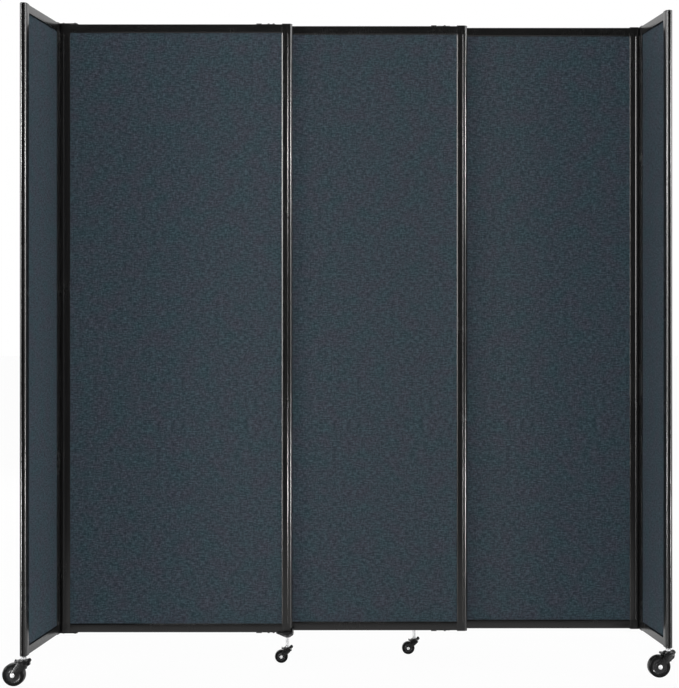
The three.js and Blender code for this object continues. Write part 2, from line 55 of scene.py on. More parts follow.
LIP = 4.0  # width of the lip beside the fabric
CHANNEL, CHANNEL_HALF = 12.5, 7.3  # the channel that holds the covered board
NOSE_GROOVE, NOSE_GROOVE_HALF = 8.0, 2.5
FACE_GROOVE = 21.25  # from the fabric edge to the line along an upright
RAIL_GROOVE, RAIL_GROOVE_DEPTH = 6.0, 7.0
HINGE_REACH = 6.0  # from the hinge's axis to the nose of either upright


def middle_of(node):
    low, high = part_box(node)
    return (low + high) / 2


def panel_spot(name):
    """The left edge and the middle plane of a sliding panel, which stands square."""
    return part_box(f"{name}_stile_left")[0].x, middle_of(f"{name}_rail_top").y


def way_to(start, end):
    """Degrees from +X of the line between two places on the floor."""
    return math.degrees(math.atan2(end.y - start.y, end.x - start.x))


def panel_table():
    """name: body, width, left edge or hinge axis, middle plane, turn."""
    table = {name: (f"{name}_panel", PANEL, *panel_spot(name), 0.0) for name in ("front", "middle", "rear")}
    left, right = Vector(panel_spot("front")), Vector(panel_spot("rear"))
    left.x -= HINGE_REACH * MM
    right.x += (PANEL + HINGE_REACH) * MM
    for name, axis, width in (("left_wing", left, LEFT_WING), ("right_wing", right, RIGHT_WING)):
        table[name] = (name, width, axis.x, axis.y, way_to(axis, middle_of(f"{name}_caster_stem")))
    return table


def caster_table():
    """name: body of the stem, stem axis, turn, size. The wheel trails away from the fork's front."""
    holders = {
        "left_wing_caster": "left_wing",
        "right_wing_caster": "right_wing",
        "front_caster": "front_panel",
        "rear_caster": "rear_panel",
    }
    table = {}
    for name, holder in holders.items():
        stem, wheel = middle_of(f"{name}_stem"), middle_of(f"{name}_wheel")
        table[name] = (holder, stem.x, stem.y, way_to(wheel, stem), "end" if "wing" in name else "middle")
    return table


PANELS, CASTERS = panel_table(), caster_table()


# ---------------------------------------------------------------- finishes


class Amount:
    """A number coming out of a node, so that sums on it are written as sums."""

    def __init__(self, finish, socket):
        self.finish, self.socket = finish, socket

    def _sum(self, operation, a, b=0.0):
        return self.finish.node("ShaderNodeMath", {"operation": operation}, {0: a, 1: b})

    def __add__(self, other):
        return self._sum("ADD", self, other)

    def __sub__(self, other):
        return self._sum("SUBTRACT", self, other)

    def __rsub__(self, other):
        return self._sum("SUBTRACT", other, self)

    def __mul__(self, other):
        return self._sum("MULTIPLY", self, other)

    def __truediv__(self, other):
        return self._sum("DIVIDE", self, other)

    def __mod__(self, other):
        return self._sum("FLOORED_MODULO", self, other)

    __radd__, __rmul__ = __add__, __mul__

    def whole(self):
        return self._sum("FLOOR", self)

    def wave(self):
        return self._sum("SINE", self)

    def size(self):
        return self._sum("ABSOLUTE", self)

    def most(self, other):
        return self._sum("MAXIMUM", self, other)

    def over(self, level):
        return self._sum("GREATER_THAN", self, level)


class Finish:
    """A material in the making."""

    def __init__(self, name, holder=None):
        self.material = holder or bpy.data.materials.new(name)
        self.material.use_nodes = True
        self.tree = self.material.node_tree
        self.tree.nodes.clear()

    def node(self, kind, settings=None, inputs=None, out=0):
        made = self.tree.nodes.new(kind)
        for key, value in (settings or {}).items():
            if key == "stops":
                ramp = made.color_ramp.elements
                while len(ramp) < len(value):
                    ramp.new(0.5)
                for stop, (place, tone) in zip(ramp, value):
                    stop.position, stop.color = place, (tone, tone, tone, 1.0)
            else:
                setattr(made, key, value)
        for key, value in (inputs or {}).items():
            socket = made.inputs[key]
            if isinstance(value, Amount):
                self.tree.links.new(value.socket, socket)
            else:
                socket.default_value = value
        return Amount(self, made.outputs[out]) if len(made.outputs) else None

    def place(self):
        return self.node("ShaderNodeTexCoord", out="Object")

    def speckle(self, scale, detail=3.0, stretch=(1.0, 1.0, 1.0), at=None):
        """Soft random patches, from 0 to 1, about 1/scale metres across."""
        at = at or self.place()
        stretched = self.node("ShaderNodeVectorMath", {"operation": "MULTIPLY"}, {0: at, 1: stretch})
        return self.node(
            "ShaderNodeTexNoise",
            {"noise_dimensions": "3D"},
            {"Vector": stretched, "Scale": scale, "Detail": detail, "Roughness": 0.55},
        )

    def ramp(self, value, stops):
        return self.node("ShaderNodeValToRGB", {"stops": stops}, {0: value})

    def blend(self, share, dark, light):
        return self.node("ShaderNodeMix", {"data_type": "RGBA"}, {0: share, 6: dark, 7: light}, out=2)

    def part(self, vector, which):
        """One number of a vector: 0, 1 or 2 for its first, second or third."""
        return self.node("ShaderNodeSeparateXYZ", {}, {0: vector}, out=which)

    def fade(self, value, start, end, low, high):
        """A number that goes from low to high while the value goes from start to end."""
        numbers = {"Value": value, "From Min": start, "From Max": end, "To Min": low, "To Max": high}
        return self.node("ShaderNodeMapRange", {"clamp": True}, numbers)

    def rays(self):
        """1 on rays from the camera, and 1 on rays that a gloss sends out."""
        kinds = ("Is Camera Ray", "Is Glossy Ray")
        return tuple(self.node("ShaderNodeLightPath", out=kind) for kind in kinds)

    def bump(self, height, strength, distance):
        return self.node("ShaderNodeBump", {}, {"Strength": strength, "Distance": distance, "Height": height})

    def surface(self, **inputs):
        named = {key.replace("_", " "): value for key, value in inputs.items()}
        shader = self.node("ShaderNodeBsdfPrincipled", {}, named)
        self.node("ShaderNodeOutputMaterial", {}, {"Surface": shader})
        return self.material


def anodised_black():
    """Black anodised aluminium, drawn along its length, with faint handling marks."""
    make = Finish("black anodised extrusion")
    drawn = make.speckle(900.0, 2.0, (1.0, 1.0, 0.02))
    handling = make.speckle(7.0, 5.0)
    marks = make.ramp(handling, [(0.45, 0.0), (0.75, 1.0)])
    dark, light = (0.0026, 0.0025, 0.0025, 1), (0.0052, 0.0050, 0.0049, 1)
    tone = make.blend(drawn * 0.6 + handling * 0.4, dark, light)
    return make.surface(
        Base_Color=tone,
        Roughness=0.2 + 0.06 * drawn + 0.07 * marks,
        Specular_IOR_Level=0.62,
        Normal=make.bump(drawn, 0.05, 0.0004),
    )


THREAD = 0.0015  # metres from one yarn to the next


def slate_weave():
    """A plain weave in slate blue yarn with lighter slubs, and painted shade where the yarns dip. It follows
    the cloth's own map, in metres.
    """
    make = Finish("slate woven fabric")
    cloth = make.node("ShaderNodeUVMap", {"uv_map": "weave"})
    across, along = make.part(cloth, 0), make.part(cloth, 1)
    warp, weft = across / THREAD, along / THREAD
    over = (warp.whole() + weft.whole()) % 2.0
    warp_round = (warp * math.pi).wave().size()
    weft_round = (weft * math.pi).wave().size()

    def yarn(share, own, crossing):
        """The round back of a yarn where it lies on top, lower at its ends."""
        return share * own * (0.55 + 0.45 * crossing)

    height = yarn(over, warp_round, weft_round) + yarn(1 - over, weft_round, warp_round)
    warp_slub = make.speckle(210.0, 2.0, (1.0, 0.28, 1.0), cloth)
    weft_slub = make.speckle(230.0, 2.0, (0.25, 1.0, 1.0), cloth)
    mottle = make.speckle(150.0, 2.0, (1.0, 1.0, 1.0), cloth)
    slubs = 0.3 + 1.9 * (weft_slub - 0.5) + 1.1 * (warp_slub - 0.5)
    # The yarns' height lightens their tops and darkens where they dip between and under one another: painted
    # shade in the weave's hollows, added to the random slubs and mottle.
    share = slubs + 1.2 * (mottle - 0.5) + 0.3 * (height - 0.45)
    heather = make.ramp(make.speckle(16.0, 4.0, (1.0, 1.0, 1.0), cloth), [(0.34, 0.0), (0.66, 1.0)])
    dark = make.blend(heather, (0.0150, 0.0305, 0.0380, 1), (0.0218, 0.0262, 0.0368, 1))
    light = make.blend(heather, (0.0625, 0.1010, 0.1200, 1), (0.0810, 0.0920, 0.1180, 1))
    tone = make.blend(share.most(0.0), dark, light)
    return make.surface(
        Base_Color=tone,
        Roughness=0.86 + 0.1 * (1 - height),
        Specular_IOR_Level=0.2,
        Normal=make.bump(height + 0.8 * weft_slub + 0.6 * warp_slub, 0.45, 0.0006),
    )


def pressed_board():
    """The fibre board under the cloth."""
    make = Finish("pressed fibre board")
    fibre = make.speckle(400.0, 4.0)
    tone = make.blend(fibre, (0.10, 0.085, 0.06, 1), (0.2, 0.17, 0.12, 1))
    return make.surface(Base_Color=tone, Roughness=0.9, Normal=make.bump(fibre, 0.3, 0.001))


def moulded(name, dark, light, roughness, grain, depth, gloss=0.5):
    """Moulded or coated black: a fine grain with worn patches."""
    make = Finish(name)
    grains = make.speckle(grain, 3.0)
    worn = make.ramp(make.speckle(35.0, 4.0), [(0.48, 0.0), (0.72, 1.0)])
    tone = make.blend(grains * 0.7 + worn * 0.3, (*dark, 1), (*light, 1))
    return make.surface(
        Base_Color=tone,
        Roughness=roughness + 0.12 * worn,
        Specular_IOR_Level=gloss,
        Normal=make.bump(grains, depth, 0.0005),
    )


def bright_metal(name, dark, light, roughness, mirror=1.0):
    """Plated steel with a thin cloud of handling marks. Below a mirror of 1, the rest of the surface is a
    matt near-white that shows bright under any light: a painted glint.
    """
    make = Finish(name)
    cloud = make.speckle(120.0, 4.0)
    return make.surface(
        Base_Color=make.blend(cloud, (*dark, 1), (*light, 1)),
        Metallic=mirror,
        Roughness=roughness + 0.12 * cloud,
    )


FRAME_BLACK = anodised_black()
SLATE_CLOTH = slate_weave()
BOARD = pressed_board()
NYLON = moulded(
    "black nylon", (0.010, 0.010, 0.010), (0.022, 0.022, 0.022), roughness=0.42, grain=900.0, depth=0.12
)
PAINT = moulded(
    "black painted steel", (0.004, 0.004, 0.004), (0.014, 0.014, 0.014),
    roughness=0.24, grain=600.0, depth=0.10, gloss=0.32,
)
# A lighter copy of the black paint, for the casters' brackets: its grey is painted reflection, standing in
# for the light that their sloped faces mirror.
PAINTED_REFLECTION_GREY = moulded(
    "steel greyed as painted reflection", (0.042, 0.042, 0.043), (0.070, 0.070, 0.071),
    roughness=0.34, grain=600.0, depth=0.10,
)
TYRE = moulded(
    "black rubber tread", (0.002, 0.002, 0.002), (0.005, 0.005, 0.005),
    roughness=0.28, grain=500.0, depth=0.12, gloss=0.14,
)
WHEEL_CORE = moulded(
    "black wheel core", (0.018, 0.018, 0.019), (0.046, 0.046, 0.047),
    roughness=0.2, grain=700.0, depth=0.10, gloss=0.32,
)
# The stem's chrome and the axle bolts' zinc are partly matt near-white: painted glints, standing in for the
# light that the plating mirrors.
CHROME_WITH_PAINTED_GLINT = bright_metal(
    "chrome stem with painted glint", (0.84, 0.84, 0.85), (0.95, 0.95, 0.96), roughness=0.14, mirror=0.6
)
ZINC_WITH_PAINTED_GLINT = bright_metal("zinc with painted glint", (0.90, 0.90, 0.91), (0.98, 0.98, 0.98), roughness=0.22, mirror=0.25)
SCREW = bright_metal("black plated screw", (0.020, 0.020, 0.021), (0.055, 0.055, 0.057), roughness=0.3)


# ---------------------------------------------------------------- shapes


def standing(x, y, degrees=0.0):
    """A place on the floor, turned about the upright. Inside it lengths are millimetres."""
    turn = Matrix.Rotation(math.radians(degrees), 4, "Z")
    return Matrix.Translation((x, y, 0.0)) @ turn @ Matrix.Scale(MM, 4)


def panel_place(name):
    x, y, degrees = PANELS[name][2:]
    shift = HINGE_REACH if degrees else 0.0
    return standing(x, y, degrees) @ Matrix.Translation((shift, 0.0, 0.0))


def caster_place(name):
    x, y, degrees = CASTERS[name][1:4]
    return standing(x, y, degrees)


def arc(cx, cy, radius, start, end, steps):
    """Points round a centre, from one angle to another in degrees."""
    turns = [math.radians(start + (end - start) * k / steps) for k in range(steps + 1)]
    return [(cx + radius * math.cos(a), cy + radius * math.sin(a)) for a in turns]


def curve_through(a, control, b, steps):
    """A smooth corner from a to b."""
    points = []
    for t in (k / steps for k in range(steps + 1)):
        shares = (1 - t) ** 2, 2 * t * (1 - t), t * t
        points.append(tuple(shares[0] * a[i] + shares[1] * control[i] + shares[2] * b[i] for i in (0, 1)))
    return points


def rounded(corners, steps=4):
    """An outline whose corners, given as (x, y, radius), are rounded."""
    points, count = [], len(corners)
    for k, (x, y, radius) in enumerate(corners):
        here = Vector((x, y))
        before, after = Vector(corners[k - 1][:2]), Vector(corners[(k + 1) % count][:2])
        back, on = (before - here).normalized(), (after - here).normalized()
        if radius <= 0:
            points.append((x, y))
            continue
        spread = back.angle(on)
        most = [0.49 * (corner - here).length for corner in (before, after)]
        reach = min(radius / math.tan(spread / 2), *most)
        points += curve_through(here + back * reach, here, here + on * reach, steps)
    return points


def oblong(x0, y0, x1, y1, radius, steps=4):
    """A rectangle with its four corners rounded alike."""
    return rounded([(x0, y0, radius), (x1, y0, radius), (x1, y1, radius), (x0, y1, radius)], steps)


def mirrored(points):
    """The other half of an outline, from the last point back to the first."""
    return [(u, -v) for u, v in reversed(points)]


def loft(shape, rings):
    """Walls between rings of points, with flat ends. Each ring is a list of 3-D points."""
    rows = [[shape.verts.new(p) for p in ring] for ring in rings]
    for low, high in zip(rows, rows[1:]):
        count = len(low)
        for k in range(count):
            corners = [low[k], low[(k + 1) % count], high[(k + 1) % count], high[k]]
            if len({tuple(round(c, 7) for c in v.co) for v in corners}) > 2:
                shape.faces.new(corners)
    shape.faces.new(rows[0][::-1])
    shape.faces.new(rows[-1])
    return shape


def plate(shape, outline, low, high, axes="xyz", soften=0.0):
    """A flat outline given a thickness. axes names where its first, second and thickness numbers go."""
    order = ["xyz".index(a) for a in axes]

    def put(u, v, w):
        point = [0.0, 0.0, 0.0]
        for where, number in zip(order, (u, v, w)):
            point[where] = number
        return point

    def ring(level, inset):
        return [put(u, v, level) for u, v in (shrunk(outline, inset) if inset else outline)]

    if not soften:
        return loft(shape, [ring(low, 0.0), ring(high, 0.0)])
    edge = [(0.0, soften), (0.3 * soften, 0.3 * soften), (soften, 0.0)]
    rings = [ring(low + up, inset) for up, inset in edge]
    rings += [ring(high - up, inset) for up, inset in reversed(edge)]
    return loft(shape, rings)


def shrunk(outline, inset):
    """The outline drawn in by a little, for a softened edge."""
    area = sum(a[0] * b[1] - b[0] * a[1] for a, b in zip(outline, outline[1:] + outline[:1]))
    side = 1.0 if area > 0 else -1.0
    points, count = [], len(outline)
    for k in range(count):
        here = Vector(outline[k])
        back = (here - Vector(outline[k - 1])).normalized()
        on = (Vector(outline[(k + 1) % count]) - here).normalized()
        inward = side * (Vector((-back.y, back.x)) + Vector((-on.y, on.x)))
        if inward.length < 1e-6:
            inward = side * Vector((-back.y, back.x))
        inward.normalize()
        along = side * Vector((-on.y, on.x))
        stretch = 1.0 / max(inward.dot(along), 0.5)
        points.append(tuple(here + inward * inset * stretch))
    return points


ON_AXIS = 1e-6  # a radius below this is a point on the axis


def turned(shape, outline, axis="z", centre=(0.0, 0.0, 0.0), steps=48):
    """An outline of (radius, height) turned about an axis. It starts and ends on the axis or closes."""
    turns = [2 * math.pi * k / steps for k in range(steps)]
    rings = []
    for radius, height in outline:
        on_axis = radius < ON_AXIS
        spots = [(0.0, 0.0)] if on_axis else [(radius * math.cos(a), radius * math.sin(a)) for a in turns]
        rings.append([shape.verts.new(_along(axis, centre, u, v, height)) for u, v in spots])
    pairs = list(zip(rings, rings[1:]))
    if outline[0][0] > ON_AXIS:
        pairs.append((rings[-1], rings[0]))
    for low, high in pairs:
        for k in range(steps):
            j = (k + 1) % steps
            if len(low) == 1 and len(high) == 1:
                continue
            if len(low) == 1:
                shape.faces.new([low[0], high[k], high[j]])
            elif len(high) == 1:
                shape.faces.new([low[k], low[j], high[0]])
            else:
                shape.faces.new([low[k], low[j], high[j], high[k]])
    return shape


def _along(axis, centre, a, b, h):
    point = {"z": (a, b, h), "y": (a, h, b), "x": (h, a, b)}[axis]
    return [c + p for c, p in zip(centre, point)]


def carved(shape, cutter):
    """What is left of a shape when the cutter's body is taken out of it."""
    holders = []
    for part in (shape, cutter):
        bmesh.ops.recalc_face_normals(part, faces=part.faces)
        mesh = bpy.data.meshes.new("blank")
        part.to_mesh(mesh)
        part.free()
        holders.append(bpy.data.objects.new("blank", mesh))
        bpy.context.scene.collection.objects.link(holders[-1])
    saw = holders[0].modifiers.new("saw", "BOOLEAN")
    saw.operation, saw.solver, saw.use_self, saw.object = "DIFFERENCE", "EXACT", True, holders[1]
    left = bpy.data.meshes.new_from_object(holders[0].evaluated_get(bpy.context.evaluated_depsgraph_get()))
    result = bmesh.new()
    result.from_mesh(left)
    for made in holders:
        bpy.data.objects.remove(made)
    return result


def finished(name, shape, material, body, place, nodes=(), crisp=32.0):
    """Turns a shape into a piece: placed in its mesh, smooth between crisp edges, riding on a body."""
    shape.transform(place)
    bmesh.ops.recalc_face_normals(shape, faces=shape.faces)
    mesh = bpy.data.meshes.new(name)
    shape.to_mesh(mesh)
    shape.free()
    return dressed(name, mesh, material, body, nodes, crisp)


def dressed(name, mesh, material, body, nodes=(), crisp=32.0):
    mesh.materials.clear()
    mesh.materials.append(material)
    mesh.shade_smooth()
    mesh.set_sharp_from_angle(angle=math.radians(crisp))
    made = bpy.data.objects.new(name, mesh)
    bpy.context.scene.collection.objects.link(made)
    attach(made, body)
    if nodes:
        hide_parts(*nodes)
    return made


# ---------------------------------------------------------------- repeated pieces


def modifier_tree(name, numbers):
    """An empty tree for repeated pieces, with a named input for each number."""
    tree = bpy.data.node_groups.new(name, "GeometryNodeTree")
    tree.interface.new_socket("Geometry", in_out="INPUT", socket_type="NodeSocketGeometry")
    for label, kind in numbers:
        tree.interface.new_socket(label, in_out="INPUT", socket_type=kind)
    tree.interface.new_socket("Geometry", in_out="OUTPUT", socket_type="NodeSocketGeometry")
    return tree


def wired(tree, kind, settings=None, inputs=None):
    made = tree.nodes.new(kind)
    for key, value in (settings or {}).items():
        setattr(made, key, value)
    for key, value in (inputs or {}).items():
        socket = made.inputs[key]
        if isinstance(value, bpy.types.NodeSocket):
            tree.links.new(value, socket)
        else:
            socket.default_value = value
    return made


def knuckle_tree():
    """Hinge barrels in a row up the hinge's axis."""
    whole, number = "NodeSocketInt", "NodeSocketFloat"
    measures = ("Pitch", "Length", "Radius", "First height", "Axis X", "Axis Y")
    inputs = [("Barrels", whole), *((label, number) for label in measures)]
    tree = modifier_tree("hinge barrels", inputs + [("Material", "NodeSocketMaterial")])
    given = tree.nodes.new("NodeGroupInput").outputs
    barrel = wired(
        tree,
        "GeometryNodeMeshCylinder",
        {"fill_type": "NGON"},
        {"Vertices": 20, "Radius": given["Radius"], "Depth": given["Length"]},
    )
    foot = {0: given["Axis X"], 1: given["Axis Y"], 2: given["First height"]}
    start = wired(tree, "ShaderNodeCombineXYZ", {}, foot)
    step = wired(tree, "ShaderNodeCombineXYZ", {}, {2: given["Pitch"]})
    row = wired(
        tree,
        "GeometryNodeMeshLine",
        {"mode": "OFFSET"},
        {"Count": given["Barrels"], "Start Location": start.outputs[0], "Offset": step.outputs[0]},
    )
    copies = {"Points": row.outputs[0], "Instance": barrel.outputs[0]}
    placed = wired(tree, "GeometryNodeInstanceOnPoints", {}, copies)
    return closed_tree(tree, placed.outputs[0], given["Material"])


def closed_tree(tree, result, material):
    real = wired(tree, "GeometryNodeRealizeInstances", {}, {0: result})
    coated = wired(tree, "GeometryNodeSetMaterial", {}, {"Geometry": real.outputs[0], "Material": material})
    end = tree.nodes.new("NodeGroupOutput")
    tree.links.new(coated.outputs[0], end.inputs[0])
    return tree


def screw_tree():
    """A fastener on every point of a mesh, all turned the same way."""
    kinds = {"Screw": "Object", "Turn": "Rotation", "Spin": "Float", "Seed": "Int", "Material": "Material"}
    tree = modifier_tree("screws on points", [(label, "NodeSocket" + kind) for label, kind in kinds.items()])
    given = tree.nodes.new("NodeGroupInput").outputs
    screw = wired(tree, "GeometryNodeObjectInfo", {}, {"Object": given["Screw"]})
    range_of_spin = {2: 0.0, 3: given["Spin"], "Seed": given["Seed"]}
    spin = wired(tree, "FunctionNodeRandomValue", {"data_type": "FLOAT"}, range_of_spin)
    about = wired(tree, "ShaderNodeCombineXYZ", {}, {2: spin.outputs[1]})
    copies = {"Points": given["Geometry"], "Instance": screw.outputs["Geometry"], "Rotation": given["Turn"]}
    placed = wired(tree, "GeometryNodeInstanceOnPoints", {}, copies)
    turn = {"Instances": placed.outputs[0], "Rotation": about.outputs[0]}
    spun = wired(tree, "GeometryNodeRotateInstances", {}, turn)
    return closed_tree(tree, spun.outputs[0], given["Material"])


def grown(name, tree, points, inputs, material, body, nodes=()):
    """Runs a tree on some points and keeps the result as a plain piece."""
    seedbed = bpy.data.meshes.new(name + "_points")
    seedbed.from_pydata(points, [], [])
    holder = bpy.data.objects.new(name + "_points", seedbed)
    bpy.context.scene.collection.objects.link(holder)
    modifier = holder.modifiers.new("repeat", "NODES")
    modifier.node_group = tree
    known = {s.name: s.identifier for s in tree.interface.items_tree if s.in_out == "INPUT"}
    for label, value in inputs.items():
        modifier[known[label]] = value
    modifier[known["Material"]] = material
    seen = holder.evaluated_get(bpy.context.evaluated_depsgraph_get())
    mesh = bpy.data.meshes.new_from_object(seen)
    holder.modifiers.clear()
    bpy.data.objects.remove(holder)
    mesh.name = name
    return dressed(name, mesh, material, body, nodes)


def pan_screw(radius, rise):
    """A round-headed screw whose head stands on Z = 0, with a round recess, in metres."""
    shape = bmesh.new()
    shank = radius * 0.45
    outline = [(0.0, -1.0), (shank, -1.0), (shank, 0.0), (radius, 0.0), (radius, rise * 0.35)]
    outline += [(radius * math.cos(a), rise * (0.35 + 0.65 * math.sin(a))) for a in (0.35, 0.7, 1.05)]
    outline += [(radius * 0.3, rise), (radius * 0.22, rise * 0.45), (0.0, rise * 0.4)]
    turned(shape, outline, steps=16)
    shape.transform(Matrix.Scale(MM, 4))
    bmesh.ops.recalc_face_normals(shape, faces=shape.faces)
    mesh = bpy.data.meshes.new("screw_pattern")
    shape.to_mesh(mesh)
    shape.free()
    return bpy.data.objects.new("screw_pattern", mesh)


# ---------------------------------------------------------------- extrusions


BOARD_CHANNEL = [(0.0, CHANNEL_HALF), (CHANNEL, CHANNEL_HALF), (CHANNEL, -CHANNEL_HALF), (0.0, -CHANNEL_HALF)]
UPRIGHT_DROP, RAIL_DROP = 1.6, 2.2  # how far the lip's facet falls towards the cloth
SHARP = 20.0  # degrees past which an extrusion's edge stays crisp


def lip(sloped, drop=UPRIGHT_DROP):
    """The edge beside the fabric: a small round and, where it is sloped, a facet down to the cloth."""
    if not sloped:
        return curve_through((0.0, -HALF + 0.5), (0.0, -HALF), (0.5, -HALF), 5)
    low = -HALF + drop
    corner = curve_through((0.0, low + 1.0), (0.0, low + 0.2), (0.3, low), 3)
    return corner + [(LIP - 0.3, -HALF + 0.1), (LIP + 0.2, -HALF)]


def upright_outline(sloped):
    """An upright's section: first number from the fabric edge outwards, second through the depth."""
    centre = POST - HALF
    last = math.degrees(math.asin(NOSE_GROOVE_HALF / HALF))
    front = lip(sloped)
    groove = -HALF + (1.4 if sloped else 0.02)
    front += [(FACE_GROOVE - 1.6, -HALF), (FACE_GROOVE - 1.2, groove)]
    front += [(FACE_GROOVE - 0.9, groove), (FACE_GROOVE + 1.6, -HALF)]
    front += arc(centre, 0.0, HALF, -90.0, -last - 2.0, 14)
    front += [(POST - 0.9, -NOSE_GROOVE_HALF), (POST - NOSE_GROOVE, -NOSE_GROOVE_HALF)]
    return front + mirrored(front) + BOARD_CHANNEL


def rail_outline():
    """A rail's section: first number from the fabric edge outwards, second through the depth."""
    near, far = RAIL_GROOVE - 2.0, RAIL_GROOVE + 2.0
    floor = RAIL - RAIL_GROOVE_DEPTH
    front = lip(True, RAIL_DROP)
    front += curve_through((RAIL - 1.6, -HALF), (RAIL, -HALF), (RAIL, -HALF + 1.6), 4)
    front += curve_through((RAIL, -far - 0.4), (RAIL, -far), (RAIL - 0.4, -far), 2)
    front += [(floor, -far), (floor, -near)]
    front += curve_through((RAIL - 0.4, -near), (RAIL, -near), (RAIL, -near + 0.4), 2)
    return front + mirrored(front) + BOARD_CHANNEL


def upright(name, side):
    """A full-height upright on the left (-1) or right (+1) of a panel."""
    body, width = PANELS[name][:2]
    edge = POST if side < 0 else width - POST
    plain, sloped = upright_outline(False), upright_outline(True)

    def ring(outline, z):
        return [(edge + side * u, v, z) for u, v in outline]

    foot, head = BOTTOM + RAIL, TOP - RAIL
    levels = [(plain, BOTTOM), (plain, foot), (sloped, foot), (sloped, head), (plain, head), (plain, TOP)]
    shape = loft(bmesh.new(), [ring(outline, z) for outline, z in levels])
    word = "left" if side < 0 else "right"
    place, nodes = panel_place(name), [f"{name}_stile_{word}"]
    finished(f"{name}_{word}_upright", shape, FRAME_BLACK, body, place, nodes, SHARP)


def rail(name, level):
    """A rail between the uprights, above or below."""
    body, width = PANELS[name][:2]
    edge, way = (TOP - RAIL, 1.0) if level == "top" else (BOTTOM + RAIL, -1.0)
    outline = rail_outline()
    ends = (POST + GAP, width - POST - GAP)
    shape = loft(bmesh.new(), [[(x, v, edge + way * u) for u, v in outline] for x in ends])
    word = "head" if level == "top" else "foot"
    place, nodes = panel_place(name), [f"{name}_rail_{level}"]
    finished(f"{name}_{word}_rail", shape, FRAME_BLACK, body, place, nodes, SHARP)


PLUG_FLANGE, PLUG_THICK = 11.6, 2.6


def end_caps(name, skip):
    """Moulded plugs that close the uprights' ends, apart from those that a strap or bracket covers."""
    body, width = PANELS[name][:2]
    centre = POST - HALF
    half = [(0.5, 10.9), (1.2, PLUG_FLANGE), (centre, PLUG_FLANGE)]
    section = half + arc(centre, 0.0, PLUG_FLANGE, 80.0, -80.0, 16) + mirrored(half)
    for side, word in ((-1, "left"), (1, "right")):
        edge = POST if side < 0 else width - POST
        outline = [(edge + side * u, v) for u, v in section]
        spans = {"top": (TOP + 0.02, TOP + PLUG_THICK), "bottom": (BOTTOM - PLUG_THICK, BOTTOM - 0.02)}
        for level, span in spans.items():
            if (word, level) not in skip:
                shape = plate(bmesh.new(), outline, *span, soften=0.9)
                finished(f"{name}_{word}_{level}_plug", shape, NYLON, body, panel_place(name))


CORE_HALF = 6.3  # half the fibre board's thickness
CLOTH_OUTSIDE, CLOTH_INSIDE = 7.15, 6.45  # from the board's middle to the cloth's two sides
TUCK = 11.0  # how far the cloth runs on under the lips
SWELL, SWELL_REACH = 0.95, 9.0  # how far the cloth stands proud, and how soon


def fabric(name):
    """The covered board: a fibre core with a cloth stretched over each face."""
    body, width = PANELS[name][:2]
    place, nodes = panel_place(name), [f"{name}_fabric_board"]
    side, end = POST - CHANNEL + GAP, RAIL - CHANNEL + GAP
    outline = oblong(side, -CORE_HALF, width - side, CORE_HALF, 1.0, 3)
    core = plate(bmesh.new(), outline, BOTTOM + end, TOP - end)
    core = finished(f"{name}_board_core", core, BOARD, body, place, nodes)

    x0, x1 = POST - TUCK, width - POST + TUCK
    z0, z1 = BOTTOM + RAIL - TUCK, TOP - RAIL + TUCK
    steps = [0.0] + [TUCK + s for s in (-1.5, 0.0, 1.5, 4.0, 8.0, 16.0, 32.0)]
    columns = [x0 + s for s in steps] + [(x0 + x1) / 2] + [x1 - s for s in reversed(steps)]
    long_run = [z0 + TUCK + 32.0 + (z1 - z0 - 2 * (TUCK + 32.0)) * k / 8 for k in range(1, 8)]
    rows = [z0 + s for s in steps] + long_run + [z1 - s for s in reversed(steps)]

    def swell(x, z):
        """How far the cloth stands proud, pulled down under the lips."""
        inside = min(x - x0, x1 - x, z - z0, z1 - z) - TUCK
        return 0.0 if inside <= 0 else SWELL * (1 - math.exp(-inside / SWELL_REACH))

    def rim(grid):
        """The cloth's edge, once round."""
        up, down = [row[-1] for row in grid[:-1]], [row[0] for row in grid[:0:-1]]
        return grid[0][:-1] + up + grid[-1][:0:-1] + down

    for facing, word in ((-1, "front"), (1, "back")):
        shape = bmesh.new()
        grids = []
        for base in (CLOTH_OUTSIDE, CLOTH_INSIDE):
            spots = [[(x, facing * (base + swell(x, z)), z) for x in columns] for z in rows]
            grids.append([[shape.verts.new(spot) for spot in row] for row in spots])
        for grid in grids:
            for low, high in zip(grid, grid[1:]):
                for k in range(len(columns) - 1):
                    shape.faces.new([low[k], low[k + 1], high[k + 1], high[k]])
        outer, inner = (rim(grid) for grid in grids)
        for k in range(len(outer)):
            j = (k + 1) % len(outer)
            shape.faces.new([outer[k], outer[j], inner[j], inner[k]])
        weave = shape.loops.layers.uv.new("weave")
        for face in shape.faces:
            for corner in face.loops:
                corner[weave].uv = (corner.vert.co.x * MM, corner.vert.co.z * MM)
        cloth = finished(f"{name}_cloth_{word}", shape, SLATE_CLOTH, body, place, nodes)
        (x1 - x0) * MM


# ---------------------------------------------------------------- hinges, straps and guides

BARRELS = knuckle_tree()
SCREWS = screw_tree()
PAN = pan_screw(4.2, 3.0)
bpy.context.scene.collection.objects.link(PAN)

KNUCKLES = 20
KNUCKLE = (TOP - BOTTOM) / KNUCKLES
KNUCKLE_GAP = 0.6
LEAF_HALF, LEAF_KEY_HALF = 1.2, 2.2  # half a hinge leaf's thickness, and in the nose groove
HINGE_PIN, HINGE_BARREL = 2.2, 0.0045  # radii, the barrel's in metres
STRAP_THICK, GUIDE_THICK, BRACKET_THICK = 4.0, 3.0, 4.0
GUIDE_RIB = 12.0  # from a guide's middle to either rib


